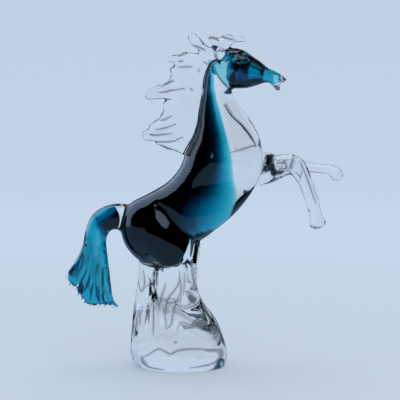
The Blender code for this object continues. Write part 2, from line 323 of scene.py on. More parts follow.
class Bench:
    """Gathers of glass laid into one mesh, measured in shares of the figurine's height."""

    def __init__(self, sizes):
        self.sizes = sizes
        self.share = sizes.height / GRID
        self.bm = bmesh.new()

    def at(self, x, z, y=0.0):
        """A place from its shares forward and up; y is already in metres, to the left side."""
        return Vector((x * self.share, y, z * self.share))

    def stations(self, rows, width, flank=0.0):
        """Stations from (x, z, half height, half width) rows, the width in shares of width."""
        return [
            (self.at(x, z, flank), half_height * self.share, half_width * width)
            for x, z, half_height, half_width in rows
        ]

    def gather(self, stations, sides=ROUND_SIDES, end_reach=None):
        """A gather along (centre, half height, half width) stations, with domed ends.

        The height is across the gather in the plane of its side view, the width is along Y,
        and the last dome reaches out by end_reach.
        """
        fine = smooth_stations(stations)
        centres = [station[0] for station in fine]
        rings = []
        for i, (centre, half_height, half_width) in enumerate(fine):
            ahead, behind = centres[min(i + 1, len(fine) - 1)], centres[max(i - 1, 0)]
            along = (ahead - behind).normalized()
            up = Vector((0, 1, 0)).cross(along).normalized()
            rings.append((centre, up, along, half_height, half_width))

        def dome(ring, outward, reach=None):
            centre, up, along, half_height, half_width = ring
            reach = reach or 0.8 * min(half_height, half_width)
            for lean in (20, 40, 60, 80):
                shrink, push = math.cos(math.radians(lean)), math.sin(math.radians(lean))
                place = centre + along * outward * reach * push
                yield place, up, along, half_height * shrink, half_width * shrink

        rings = list(dome(rings[0], -1))[::-1] + rings + list(dome(rings[-1], 1, end_reach))
        loops = []
        for centre, up, along, half_height, half_width in rings:
            side = along.cross(up)
            loop = []
            for k in range(sides):
                turn = 2 * math.pi * k / sides
                place = centre + up * half_height * math.cos(turn) + side * half_width * math.sin(turn)
                loop.append(self.bm.verts.new(place))
            loops.append(loop)
        self.skin_loops(loops)

    def ribbed(self, ribs, width):
        """A core through ribs, each from a front place to a back one, thinned forward by its keel."""
        rows = [
            [self.at(fx, fz), self.at(bx, bz), half_width * width, keel]
            for fx, fz, bx, bz, half_width, keel in ribs
        ]
        loops = []
        for front, back, half_width, keel in smooth_stations(rows, CORE_STEPS):
            centre, up = (front + back) / 2, (back - front) / 2
            loop = []
            for k in range(CORE_SIDES):
                turn = 2 * math.pi * k / CORE_SIDES
                thinned = ((1.001 + math.cos(turn)) / 2.001) ** max(keel, 0.0)
                across = half_width * math.sin(turn) * thinned
                loop.append(self.bm.verts.new(centre + up * math.cos(turn) + Vector((0, across, 0))))
            loops.append(loop)
        self.skin_loops(loops)

    def skin_loops(self, loops):
        """Faces between neighbouring loops, and the two caps."""
        for one, two in zip(loops, loops[1:]):
            for k in range(len(one)):
                self.bm.faces.new((one[k], one[k - 1], two[k - 1], two[k]))
        self.bm.faces.new(loops[0])
        self.bm.faces.new(loops[-1][::-1])

    def bead(self, place, radius):
        """A small ball."""
        made = bmesh.ops.create_uvsphere(
            self.bm, u_segments=LOCK_SIDES, v_segments=LOCK_SIDES, radius=radius
        )
        bmesh.ops.translate(self.bm, verts=made["verts"], vec=place)

    def mesh(self, name):
        """The gathers as one mesh of overlapping bodies."""
        bmesh.ops.recalc_face_normals(self.bm, faces=self.bm.faces)
        mesh = bpy.data.meshes.new(name)
        self.bm.to_mesh(mesh)
        self.bm.free()
        return mesh


def add_body(bench):
    """Neck, barrel and rump as one gather."""
    neck = ((38.5, 304, 8, 0.28), (37.5, 291, 12.5, 0.36), (38.5, 276, 15, 0.42),
            (40.5, 259.5, 20.5, 0.52), (44.5, 244.5, 28, 0.66))
    barrel = ((47, 227, 35.5, 0.40), (44, 205.5, 39, 0.47), (31.5, 182.5, 36.5, 0.50),
              (11.5, 162.5, 33.8, 0.50), (-11, 147, 35, 0.48), (-27, 137.5, 36.5, 0.45))
    stations = bench.stations(neck, bench.sizes.neck_width)
    stations += bench.stations(barrel, bench.sizes.barrel_width)
    bench.gather(stations, end_reach=RUMP_REACH * bench.share)


def add_muscles(bench):
    """The thighs, and the shoulders that the forelegs are drawn from."""
    sizes = bench.sizes
    thigh = ((-27, 150, 19, 0.17), (-20, 141, 24, 0.22), (-11, 128, 23, 0.22), (-5, 115, 17, 0.17))
    shoulder = ((52, 212, 20, 0.20), (64, 206.5, 20, 0.20), (76, 204, 16, 0.17))
    for flank in (-1, 1):
        out = flank * sizes.haunch_width * THIGH_OUT
        bench.gather(bench.stations(thigh, sizes.haunch_width, out))
        out = flank * sizes.barrel_width * SHOULDER_OUT
        bench.gather(bench.stations(shoulder, sizes.barrel_width, out))


# The head's stations as (x, z, half height, half width), the width in shares of the head's
HEAD = ((40, 302, 9, 0.30), (46.5, 301, 17, 0.44), (55.5, 301, 20, 0.50), (67, 298, 17.3, 0.45),
        (78, 296, 12.6, 0.36), (87, 294.2, 7.6, 0.27), (92, 293, 6.4, 0.24), (98, 290.5, 6.0, 0.24))
# Where the head's core ends in the muzzle
HEAD_CORE_END = (95.5, 291.4, 6.0, 0.24)


def add_head(bench):
    """The head with its open mouth, and two ears laid back."""
    width = bench.sizes.head_width
    upper_lip = ((97, 292, 4.6, 0.22), (102, 290.5, 3.8, 0.19), (105, 289, 2.4, 0.13))
    lower_lip = ((95, 288, 4.0, 0.20), (97.5, 283.5, 3.2, 0.17), (99, 280.5, 2.4, 0.13))
    throat = ((50, 286, 6, 0.2), (51.5, 281.5, 2.2, 0.1))
    ear = ((0.0, 4.6, 3.4), (0.45, 4.0, 2.8), (0.85, 2.2, 1.6))
    back, out, up = EAR_WAY
    bench.gather(bench.stations(HEAD, width))
    for rows in (upper_lip, lower_lip, throat):
        bench.gather(bench.stations(rows, width), LOCK_SIDES)
    for flank in (-1, 1):
        bench.bead(bench.at(66, 309.5, flank * EYE_OUT * width), bench.sizes.eye_width / 2)
        root = bench.at(42, 314, flank * EAR_OUT * width)
        lean = Vector((back, flank * out, up)).normalized()
        bench.gather(
            [
                (root + lean * far * bench.sizes.ear_length, high * bench.share, wide * bench.share)
                for far, high, wide in ear
            ],
            LOCK_SIDES,
        )


def add_lock(bench, route, flank=0.0, root_width=0.40):
    """A lock of the mane along (x, z, half height) places, thinning to its tip."""
    thick = bench.sizes.mane_thickness
    last = len(route) - 1
    stations = []
    for i, (x, z, half_height) in enumerate(route):
        place = bench.at(x, z, flank * thick * LOCK_SWAY * math.sin(math.pi * i / last))
        half_width = thick * (root_width - LOCK_TAPER * i / last)
        stations.append((place, half_height * bench.share, half_width))
    bench.gather(stations, LOCK_SIDES)


def add_mane(bench):
    """A thin sheet along the crest, drawn out into locks, and the forelock above the brow."""
    sheet = ((16, 314, 13, 0.44), (12, 296, 19, 0.56), (10, 279, 21, 0.6), (8, 262, 20, 0.6),
             (3, 248, 22, 0.56), (-2, 234, 21, 0.5), (0, 223, 12, 0.4))
    bench.gather(bench.stations(sheet, bench.sizes.mane_thickness))
    locks = (
        ((35, 311, 6), (23, 322, 5.6), (12.5, 333.5, 4.8)),
        ((30, 318, 3.6), (21, 322.5, 3.2), (12.5, 326.5, 2.6)),
        ((29, 306, 6), (11, 312, 4.8), (-9, 310, 3.6)),
        ((28, 296, 6), (8, 300, 5.4), (-6.5, 299, 4.2)),
        ((24, 284, 6), (4, 289, 5.2), (-5, 291, 4.4)),
        ((22, 276, 6.5), (1, 284, 5.2), (-18, 282, 3.8), (-30, 277.5, 2.6)),
        ((20, 267, 6), (-1, 275, 5), (-21, 274, 3.8), (-31, 272.5, 2.6)),
        ((18, 256, 6.5), (0, 263.5, 5.4), (-14, 264, 4.6)),
        ((15, 245, 6), (-3, 251.5, 5), (-18, 248.5, 3.6), (-28, 243, 2.6)),
        ((13, 237, 6), (-7, 243, 4.8), (-25, 239.5, 3.5), (-35, 236, 2.6)),
        ((10, 228, 5.5), (-9, 233, 4.2), (-27, 231.5, 3), (-34, 231.5, 2.2)),
        ((7, 220, 5.5), (-7, 224, 4.2), (-21, 227, 2.6)),
    )
    for i, route in enumerate(locks):
        add_lock(bench, route, flank=(-1, 1)[i % 2])
    forelock = (
        ((46, 318, 7), (46, 326, 6), (57, 330, 3.6), (65.5, 329, 2.4)),
        ((38, 317, 6), (39, 325, 6), (31, 332, 2.8)),
        ((42, 322, 6), (45, 330, 4.4), (51, 332, 3)),
    )
    for i, route in enumerate(forelock):
        add_lock(bench, route, (1, -1)[i % 2], root_width=0.5)


def add_forelegs(bench):
    """The right foreleg folded down at the knee, and the left one reaching forward.

    Their rows are x, z, half height, half width and how far out, in shares of half the spread.
    """
    half = bench.sizes.foreleg_width / 2
    hoof = bench.sizes.front_hoof_width / 2
    folded = (
        (66, 203, 22.5, 1.2 * half, 0.75), (79, 201.5, 17.5, 1.15 * half, 0.9),
        (90, 202.8, 14, 1.05 * half, 1), (102, 206, 11.2, 0.95 * half, 1),
        (112, 207.5, 10, 0.9 * half, 1), (119, 202.5, 9.2, 0.85 * half, 1),
        (125, 191, 7.3, 0.72 * half, 1), (131, 175.5, 6.9, 0.66 * half, 1),
        (134.5, 163, 6.4, 0.66 * half, 1), (136, 157, 6.2, 0.7 * half, 1),
        (137.5, 151, 7.8, hoof, 1), (138.3, 148.5, 8.4, hoof, 1),
    )
    reaching = (
        (64, 209, 17, 1.2 * half, 0.75), (80, 206.5, 13, 1.1 * half, 0.9),
        (97, 204.5, 9.6, 0.92 * half, 1), (112, 203.5, 7, 0.76 * half, 1),
        (128, 201.5, 5.4, 0.64 * half, 1), (143, 199.5, 4.8, 0.6 * half, 1),
        (153, 198.5, 5.2, 0.7 * half, 1), (158, 196, 6, 0.9 * hoof, 1), (159.5, 192.5, 6.6, hoof, 1),
    )
    for flank, leg in ((-1, folded), (1, reaching)):
        bench.gather([
            (bench.at(x, z, flank * out * bench.sizes.foreleg_spread / 2), high * bench.share, wide)
            for x, z, high, wide, out in leg
        ])


def add_hind_legs(bench):
    """Two hind legs, pulled down from the thighs and fused by the web between them."""
    half = bench.sizes.hind_leg_width / 2
    right = ((9, 130, 14, 0.9), (12.5, 116, 9.5, 0.75), (12, 100, 7, 0.68), (11, 85, 7.8, 0.72),
             (14, 66, 11, 0.9), (22, 45, 17, 1.1), (29, 27, 17, 1.2))
    left = ((-22, 125, 19, 1.0), (-29, 108, 12, 0.85), (-30.5, 90, 10.5, 0.8), (-33, 66, 12, 0.85),
            (-34, 44, 14, 1.0), (-30, 24, 17, 1.2))
    web = ((-8, 124, 20, 0.8), (-9, 100, 20, 0.5), (-9.5, 82, 20, 0.45), (-8, 60, 24, 0.65),
           (-2, 40, 30, 1.1))
    for flank, leg in ((-1, right), (1, left)):
        bench.gather(bench.stations(leg, half, flank * bench.sizes.hind_leg_spread * HIND_LEG_OUT))
    bench.gather(bench.stations(web, half))


def add_foot(bench):
    """The heavy rounded foot: (height, middle, half length, half width), in shares of its size."""
    levels = ((-10, 0.03, 0.38, 0.36), (0, 0.03, 0.44, 0.42), (5, 0.012, 0.484, 0.475),
              (13, 0.0, 0.50, 0.50), (25, -0.01, 0.488, 0.49), (37, -0.035, 0.455, 0.45),
              (48, -0.075, 0.40, 0.38), (57, -0.11, 0.32, 0.28), (64, -0.13, 0.20, 0.17),
              (67, -0.13, 0.06, 0.05))
    sizes = bench.sizes
    loops = []
    for z, middle, half_length, half_width in smooth_stations(levels):
        loop = []
        for k in range(2 * ROUND_SIDES):
            turn = math.pi * k / ROUND_SIDES
            x = (middle + half_length * math.cos(turn)) * sizes.foot_length
            y = half_width * sizes.foot_width * math.sin(turn)
            loop.append(bench.bm.verts.new((x, y, z * bench.share)))
        loops.append(loop)
    bench.skin_loops(loops)


def tail_rod(bench, inset=0.0):
    """The tail's rod arching from the rump."""
    half = bench.sizes.tail_width / 2
    rod = ((-46, 150, 13.6, 0.9), (-57, 152.5, 13.6, 0.95), (-67, 152.5, 12.6, 1.0),
           (-77, 147, 12.2, 1.0), (-82.5, 136, 11.2, 1.0), (-84.5, 124, 11.6, 0.95),
           (-87, 108, 13, 0.85), (-89.5, 96, 14.5, 0.7), (-91.5, 87, 14.5, 0.5))
    return [
        (bench.at(x, z), (high - inset) * bench.share, wide * half - inset * bench.share)
        for x, z, high, wide in rod
    ]


# How many of the rod's stations stay clear, and the core's branch that kicks forward
CLEAR_ROOT = 2
TAIL_KICK = ((-72, 82, 2.4, 2.4), (-69.5, 72, 2.2, 2.2), (-66.5, 65.5, 1.9, 1.9), (-62.5, 62, 1.4, 1.4))
# Where the strands' tips end
TAIL_TIPS = ((-108.5, 95.5), (-109, 88.5), (-105, 84.5), (-99, 77), (-96, 71), (-91, 66),
             (-85, 65), (-79, 65), (-73.5, 65.5), (-69.5, 66))


def tail_strands(bench, inset=0.0):
    """The strands that the tail flares into."""
    half = bench.sizes.tail_width / 2
    thick = bench.sizes.tail_strand_width / 2
    inset *= bench.share
    for i, (x, z) in enumerate(TAIL_TIPS):
        across = i / (len(TAIL_TIPS) - 1)
        flank = (-1, 1, 0)[i % 3] * 0.3 * half
        root = (-92 + 15 * across, 124 + 4 * across)
        middle = ((root[0] + x) / 2 + 3 - 4 * across, (root[1] + z) / 2)
        yield [
            (bench.at(*root, flank * 0.2), thick * 1.1 - inset, half * 0.7 - inset),
            (bench.at(*middle, flank * 0.5), thick * 1.3 - inset, half * 0.55 - inset),
            (bench.at(x, z, flank * 0.8), thick * 0.95 - inset, thick * 0.95 - inset),
        ]


def add_tail(bench):
    """The tail's rod, its strands and the one that kicks forward."""
    bench.gather(tail_rod(bench))
    for strand in tail_strands(bench):
        bench.gather(strand, LOCK_SIDES)
    kick = ((-70, 72, 3.4, 0.4), (-67.5, 64.5, 3.2, 0.4), (-63, 61, 2.6, 0.4))
    bench.gather(bench.stations(kick, bench.sizes.tail_strand_width), LOCK_SIDES)


def add_tail_curls(bench):
    """Thin hooked threads that the shears left on the strands' tips."""
    for i in range(CURLS):
        across = i / (CURLS - 1)
        spot = across * (len(TAIL_TIPS) - 1)
        near = int(min(spot, len(TAIL_TIPS) - 2))
        part = spot - near
        x, z = (
            (1 - part) * first + part * second
            for first, second in zip(TAIL_TIPS[near], TAIL_TIPS[near + 1])
        )
        out = math.radians(CURL_OUT + CURL_FAN * across)
        bend = math.radians(CURL_BENDS[i % 3])
        reach = CURL_REACH + CURL_REACH_CHANGE * math.sin(CURL_REACH_TURN * i)
        y = bench.share * CURL_ASIDE * math.sin(CURL_ASIDE_TURN * i)
        stations = []
        for step in range(CURL_STEPS + 1):
            t = step / CURL_STEPS
            turn = out + bend * t * t * CURL_BEND_GROWTH
            radius = bench.share * (1.0 - CURL_TAPER * t)
            stations.append((bench.at(x, z, y), radius, radius))
            x += math.cos(turn) * reach / CURL_STEPS
            z += math.sin(turn) * reach / CURL_STEPS
        bench.gather(stations, CURL_SIDES)


def piece_of(name, mesh):
    """An object in the scene that holds this mesh."""
    piece = bpy.data.objects.new(name, mesh)
    bpy.context.scene.collection.objects.link(piece)
    return piece


def melted(name, mesh, melt, share):
    """The one skin that overlapping gathers melt into, softened where they meet."""
    voxel, rounds = melt
    piece = piece_of(name, mesh)
    remesh = piece.modifiers.new("fuse", "REMESH")
    remesh.mode = "VOXEL"
    remesh.voxel_size = voxel * share
    remesh.use_smooth_shade = True
    soften = piece.modifiers.new("soften", "SMOOTH")
    soften.factor = 0.5
    soften.iterations = rounds
    graph = bpy.context.evaluated_depsgraph_get()
    skin = bpy.data.meshes.new_from_object(piece.evaluated_get(graph))
    skin.name = name
    bpy.data.objects.remove(piece, do_unlink=True)
    return skin


def joined(name, meshes):
    """Several meshes as one."""
    bm = bmesh.new()
    for mesh in meshes:
        bm.from_mesh(mesh)
    whole = bpy.data.meshes.new(name)
    bm.to_mesh(whole)
    bm.free()
    return whole


def cut_flat(mesh):
    """Grinds the underside flat at height zero."""
    bm = bmesh.new()
    bm.from_mesh(mesh)
    everything = bm.verts[:] + bm.edges[:] + bm.faces[:]
    bmesh.ops.bisect_plane(
        bm, geom=everything, plane_co=(0, 0, 0), plane_no=(0, 0, 1), clear_inner=True
    )
    rim = [edge for edge in bm.edges if edge.is_boundary]
    floor = bmesh.ops.edgeloop_fill(bm, edges=rim)["faces"]
    bmesh.ops.recalc_face_normals(bm, faces=bm.faces)
    for edge in rim:
        edge.smooth = False
    for face in floor:
        face.smooth = False
    bm.to_mesh(mesh)
    bm.free()


def project(places, look, share):
    """Where places of the figurine show in the photograph, in its pixels."""
    tilt, distance = look.camera_height, look.camera_distance
    focal = look.lens / SENSOR * PICTURE
    across, depth, height = ((places / share / 1000) - np.array(AIM)).T
    ahead = distance + depth * math.cos(tilt) - height * math.sin(tilt)
    rise = height * math.cos(tilt) + depth * math.sin(tilt)
    return PICTURE / 2 + focal * across / ahead, PICTURE / 2 - focal * rise / ahead


# Strokes drawn into the hot glass: routes in the photograph's pixels
MANE_STROKES = {
    "crest curl": ((177.6, 56), (187, 53), (190.4, 49.4)),
    "top tick": ((178, 61.6), (183.3, 61.1)),
    "top line": ((167.3, 66.6), (174.3, 66.9)),
    "top line inner end": ((178.3, 66.9), (187.6, 66.9), (192.6, 66.9)),
    "top edge": ((167.6, 67.3), (167.6, 79.4)),
    "second line": ((161, 86.6), (168.3, 83), (173.7, 80.4)),
    "third line": ((158.3, 93), (165.4, 92.3), (172.6, 90.4), (184.7, 88.7)),
    "fourth line": ((158, 99.4), (164, 99.6), (171, 99.2)),
    "notch": ((152.6, 102.6), (158.3, 108), (162.6, 114.4)),
    "fifth line": ((160.4, 120.6), (165.4, 119.4), (172.6, 115.4)),
    "sixth line": ((155.4, 130), (165.4, 128), (175.7, 124.4)),
    "seventh line": ((149.7, 135), (158.3, 135.4), (173.3, 133.4)),
    "eighth line": ((148.3, 141.6), (161, 141.8), (172.6, 141.4), (182.6, 137.3)),
    "lower edge": ((150, 142), (165.4, 147.3), (176, 151)),
    "upper nick": ((198, 69), (199.5, 72)),
    "lower nick": ((190, 88), (193, 91)),
    "ear nick": ((204, 62), (207, 64)),
}
FORELOCK_STROKES = {
    "back curl": ((208.3, 39), (210.4, 38), (214.7, 38.6), (218.3, 41.1)),
    "arc": ((216.9, 38.3), (221, 36.6), (225.4, 37.9), (235.4, 40.4)),
    "slit": ((246, 41.9), (243.5, 45), (241, 48.6)),
    "ear bar": ((219.5, 51), (224, 50.6), (228.3, 51)),
    "short ear bar": ((230.4, 49.8), (234.7, 49.5)),
    "ear fold": ((214.7, 54), (217.6, 59.7), (225.4, 60.4), (231.9, 54.7)),
    "lock root": ((193.3, 45.4), (198.3, 46.9), (205.4, 50.4)),
    "lock knob": ((189, 43.5), (191, 45.5), (192.6, 43.6)),
}
FACE_STROKES = {
    "eye ring": ((245, 53.6), (243.3, 55.3), (241.6, 53.6), (243.3, 51.9), (245, 53.6)),
    "eyelid": ((237.6, 58.3), (239, 56), (241.9, 55.4), (245.4, 56), (249, 58.3), (250.4, 61.4)),
    "eye": ((241, 58.6), (244, 57.6), (246.9, 59.7), (244.7, 61.6), (241.5, 60.5)),
    "lower lid": ((237, 61.4), (240.4, 63.3), (245.4, 63.3), (248.3, 62.3)),
    "nostril": ((279.4, 81.9), (282.6, 79), (284.7, 81), (283.3, 83.7), (279.4, 81.9)),
    "lower lip": ((274, 87.6), (276.9, 85.4), (278.6, 89), (276.9, 91.9), (274, 87.6)),
    "bridge": ((267.6, 70.4), (271, 73.3), (278.3, 74), (281.4, 76.9)),
    "cheek": ((214.9, 66.9), (217.6, 75.4), (224, 84), (230.5, 90)),
}
NECK_STROKES = {
    "neck front": ((224.4, 105), (233, 117), (243, 126), (251, 136), (257, 146.6)),
    "neck front lower end": ((243, 126), (251, 136), (257, 146.6)),
    "breast edge": ((249, 119), (258, 131), (262.5, 143), (264, 150)),
    "breast seam": ((231, 153.4), (243, 150.6), (252, 147.4), (257, 146.6)),
}
FORELEG_STROKES = {
    "elbow": ((277, 164), (282, 162), (286, 164), (285, 169), (279, 168)),
    "knee crease": ((294, 155), (292, 163), (289.4, 169)),
    "shin inside": ((287, 169), (295, 179), (302, 193), (306, 207)),
    "shin outside": ((300, 161), (305, 173), (310, 187), (316, 204)),
    "hoof": ((310, 226), (317, 227.5), (324, 227.4)),
    "fetlock": ((306.5, 209), (310, 211.5)),
}
HIND_STROKES = {
    "drop": ((139, 267), (137.5, 278), (141.6, 291), (145, 283), (143.5, 270)),
    "hock curl": ((145, 288), (151, 283), (156, 292), (158, 301), (159.5, 306), (155.5, 302)),
    "hock line": ((166, 283), (162, 296), (159.5, 306)),
    "cannon": ((153.6, 303), (153.2, 320), (153.4, 335)),
    "long bend": ((179.6, 271), (178, 285), (168, 299), (165, 315), (166, 329)),
    "long bend return": ((166, 329), (171, 325), (173, 313), (177, 301), (180, 293)),
    "web line": ((180, 278), (180.8, 290), (180.4, 300)),
    "web line beside": ((185, 273), (184.5, 285), (184, 295)),
    "front column": ((192, 261), (192.4, 275), (195, 288)),
    "front column top": ((199, 243), (198, 252), (197, 259)),
    "back edge": ((138.5, 310), (136, 322), (134, 335)),
    "back edge beside": ((140, 308), (140, 325)),
}
FOOT_STROKES = {
    "inner rim": ((141, 357), (148, 355), (158, 349), (166, 352), (171, 354), (180, 350), (198, 349),
                  (208, 349.4), (222, 349)),
    "inner rim back": ((141, 357), (143, 363), (150, 367.5), (164, 370)),
    "inner rim front": ((222, 350), (223, 355), (216, 362), (206, 365.5), (190, 368)),
    "bubble": ((174, 342.4), (177.4, 342.2)),
    "toe line": ((199, 305), (210, 318), (219, 332), (223.5, 344)),
    "shelf": ((177, 330), (181, 322), (190, 325), (196, 320), (202, 318), (209, 326), (213, 334)),
}
# Shallow hollows between the muscles
THIGH_HOLLOW = ((157, 205), (162, 210), (171, 220), (183, 231), (193, 237))
FLANK_HOLLOW = ((196, 222), (199, 232), (201, 243))
# Broad runs of glass down the hind legs, raised above what is round them
COLUMNS = (
    ((143, 262), (142, 285), (140, 310), (139, 335)),
    ((152, 285), (151, 305), (148, 335)),
    ((161, 270), (163, 290), (160, 320), (158, 340)),
    ((173, 270), (171, 300), (168, 330)),
    ((186, 262), (186, 285), (182, 310)),
)
# The front edge of neck and breast, which the glass thins towards
NECK_EDGE = ((224, 76), (229, 89), (234, 100.5), (241.5, 112), (249, 124), (257, 137), (262, 150),
             (265, 163), (262, 177), (254, 191), (243, 204), (230, 216))
# The rows of the photograph between which that thinning sets in, and ends
NECK_ROWS = (85, 98, 178, 222)
# How far ahead of such an edge the glass is back at its full width
AHEAD_OF_BLADE = 20
# The front edge of the web below the thigh, which thins the same way
WEB_EDGE = ((208, 236), (206, 250), (204.5, 264), (206, 282))
WEB_ROWS = (237, 246, 262, 286)
# Each such edge with its rows, the glass's half thickness there, how much thicker it grows with
# each pixel behind the edge, in shares of the height, and how many pixels the thinning reaches
BLADES = ((NECK_EDGE, NECK_ROWS, 1.6, 0.5, 60), (WEB_EDGE, WEB_ROWS, 2.0, 0.55, 16))
# How sharply the glass turns from its own thickness to a blade's, and the last share of its
# reach over which the thinning fades
BLADE_TURN = 6
BLADE_FADE = 0.3
# How strokes are pressed: their routes, half width in pixels, depth in shares of the height,
# darkness of the shade painted along them, share of both on the left flank, and how often the
# skin is cut finer along them
STROKES = (
    (COLUMNS, 3.4, -1.1, 0.0, 1.0, 0),
    ((THIGH_HOLLOW,), 6.5, 2.8, 0.0, 1.0, 0),
    ((FLANK_HOLLOW,), 4.5, 1.0, 0.0, 1.0, 0),
    (MANE_STROKES.values(), 0.9, 0.55, 0.75, 1.0, 2),
    (FORELOCK_STROKES.values(), 0.9, 0.4, 0.9, 1.0, 2),
    (FACE_STROKES.values(), 0.8, 0.35, 0.9, 1.0, 2),
    (NECK_STROKES.values(), 1.0, 0.5, 0.9, 0.3, 2),
    (FORELEG_STROKES.values(), 0.9, 0.4, 0.93, 0.3, 2),
    (HIND_STROKES.values(), 1.1, 0.6, 0.85, 0.3, 1),
    (FOOT_STROKES.values(), 1.1, 0.3, 0.93, 0.2, 1),
)
# The same for the grooves between the tail's strands, how many there are, and between which
# places they run, from the first to the last
TAIL_GROOVES = 9
TAIL_GROOVE_PRESS = (0.8, 0.6, 0.6, 1.0, 1)
GROOVE_TOPS = ((88, 246), (101, 246))
GROOVE_FEET = ((76, 281), (108, 281))
# How much lower every second and third groove starts, and the last ones end
GROOVE_STAGGER = 10
GROOVE_SAG = 19
# Patches of painted shade, where the glass shows dark all over: their darkness and their corners
SHADES = {
    "breast": (0.95, ((259, 138), (262, 143), (265, 152), (258, 147))),
    "chin": (0.9, ((228, 88), (232, 88), (231, 92.5))),
    "lower lip": (0.95, ((273.5, 86), (277, 84.8), (279, 89.5), (276.5, 92), (274, 90))),
    "elbow": (1.0, ((268, 155), (275, 155), (274, 163), (277, 171), (285, 169.5), (284, 173),
                    (272, 178), (267, 166))),
    "chest": (1.0, ((243.6, 191), (253, 192), (248, 198.5), (243, 200))),
    "shank": (0.93, ((187, 296), (191, 294), (197.5, 298), (195, 304), (190, 303))),
    "shelf": (0.86, ((180, 323), (190, 326), (198, 320), (204, 319), (212, 332), (204, 331),
                     (196, 328), (184, 330))),
    "rim front": (0.8, ((203, 349.4), (221, 348.5), (224, 352), (222, 358), (213, 363.5),
                        (219, 356), (217, 352.6), (206, 351.6))),
    "rim back": (0.8, ((140, 355), (143, 364), (151, 369), (146, 362), (143, 357))),
    "heel": (0.7, ((134, 304), (136.4, 301), (137.2, 312), (135.4, 328), (132.8, 331), (132.4, 318))),
    "heel inside": (0.7, ((139.5, 309), (142, 311), (141.5, 322), (139.5, 325))),
}

# What light the coloured glass of head and tail lets through, by name: the glass's own tints, and paler,
# grey and black colours that paint light, reflections and shade
TINTS_AND_PAINTED_LIGHT = {
    "pale": (0.34, 0.78, 0.83), "light": (0.10, 0.58, 0.70), "teal": (0.012, 0.43, 0.58),
    "deep": (0.0, 0.27, 0.42), "blue": (0.0, 0.19, 0.35), "navy": (0.0, 0.04, 0.126),
    "grey": (0.13, 0.15, 0.16), "black": (0.002, 0.004, 0.006),
}
# How many pixels a swirl's edge is soft over, and how wide a streak is at its ends, as a share
SWIRL_EDGE = 0.9
STREAK_END = 0.5
HEAD_GROUND = "blue"
# The head's coloured glass, laid patch over patch: its own tints, with painted light and shade, and a grey
# painted reflection under the jaw
HEAD_SWIRLS_AND_PAINTED_LIGHT = (
    ("teal", ((214, 66), (221, 60), (229, 55), (230, 66), (228, 78), (232, 86), (224, 88), (215, 76))),
    ("pale", ((214, 66), (221, 61), (229, 59), (231, 64), (229.5, 70), (229, 77), (232, 82), (238, 86.3),
              (229, 88), (221, 82), (216, 75))),
    ("navy", ((230.5, 55), (235, 57), (235, 64), (234, 71), (232, 78), (235, 84), (231.5, 83), (228.5, 77),
              (229.5, 70), (231.5, 63))),
    ("teal", ((231.5, 70), (234, 69), (233, 74), (231.5, 77), (230.5, 74))),
    ("black", ((233, 62), (238, 63.5), (245, 66.5), (251, 70), (246, 71.5), (239, 69.5), (236, 73),
               (236.5, 79), (243, 80.5), (252, 78), (262, 77.5), (263, 81), (250, 83.5), (240, 86),
               (234, 86), (230.5, 82), (230, 77), (233.5, 71), (233, 66))),
    ("navy", ((237, 71), (242, 70), (248, 73), (248, 79), (242, 80.5), (237, 79))),
    ("black", ((242, 72), (247, 71.5), (247, 73.5), (242.5, 74))),
    ("deep", ((248, 67), (254, 69), (260, 71), (261, 74.5), (254, 75.5), (248, 75))),
    ("black", ((229, 50), (240, 49), (239.5, 53.5), (236.5, 57), (236.5, 61.5), (232.5, 59.5), (229.5, 57))),
    ("navy", ((240.5, 49.5), (248, 51.5), (252, 55), (246, 56), (241, 53))),
    ("black", ((237, 57), (241, 55), (250, 56.5), (257, 62), (263, 68), (264, 76), (260.5, 76),
               (259, 71), (250, 66.5), (246, 67), (240, 65), (236.5, 62))),
    ("teal", ((241, 57.3), (244, 56.8), (246.5, 58.5), (244, 59.8), (241.3, 59.3))),
    ("teal", ((240.3, 60.6), (244, 60.8), (245.5, 62.2), (242, 63.2), (239.8, 62.2))),
    ("teal", ((247, 57.8), (250, 58.4), (250.6, 61.6), (247.8, 61.6))),
    ("teal", ((251.4, 58.8), (255, 59.6), (257.4, 63.6), (252.8, 63.6))),
    ("teal", ((232.6, 58.4), (236, 58.4), (236, 62), (234, 64.6), (232.6, 63))),
    ("grey", ((250, 62.6), (256, 61.5), (263, 65), (267.5, 70.3), (264, 71.3), (258, 67.8), (252, 65.4))),
    ("pale", ((241.2, 53), (243.4, 51.6), (245.4, 53), (244.6, 55.2), (242, 55.2))),
    ("black", ((242.6, 53.4), (243.6, 52.8), (244.4, 53.6), (243.6, 54.4))),
    ("black", ((247, 49.5), (257, 55.5), (264, 62), (269.5, 70), (266, 70.5), (260.5, 62.8), (254.5, 57.6),
               (248.5, 53.6))),
    ("grey", ((236, 87), (250, 83.8), (262, 81), (263, 85), (250, 89), (231, 92), (229, 88.6))),
    ("teal", ((263, 71.5), (270, 70), (279, 75), (279, 86), (272, 87), (262.5, 80))),
    ("pale", ((273, 76), (277.5, 76.5), (278, 83), (275, 83.5))),
    ("black", ((262.5, 80), (267, 80.3), (272, 83.3), (272, 87), (264, 84.5))),
)

# The same for the tail: its own tints, with painted shade along its outline and under its bend
TAIL_GROUND = "teal"
TAIL_SWIRLS_AND_PAINTED_LIGHT = (
    ("blue", ((98, 221), (104, 228), (106, 240), (109, 262), (105, 262), (101, 240), (96, 228))),
    ("navy", ((97, 223), (104, 218.5), (112, 213), (121, 206), (122, 211), (112, 218), (103, 223),
              (105, 236), (102, 236), (99, 228))),
    ("black", ((101.5, 223.5), (110, 219), (117, 212), (124, 206), (125, 214), (121, 222), (119, 232),
               (104, 229.5))),
)
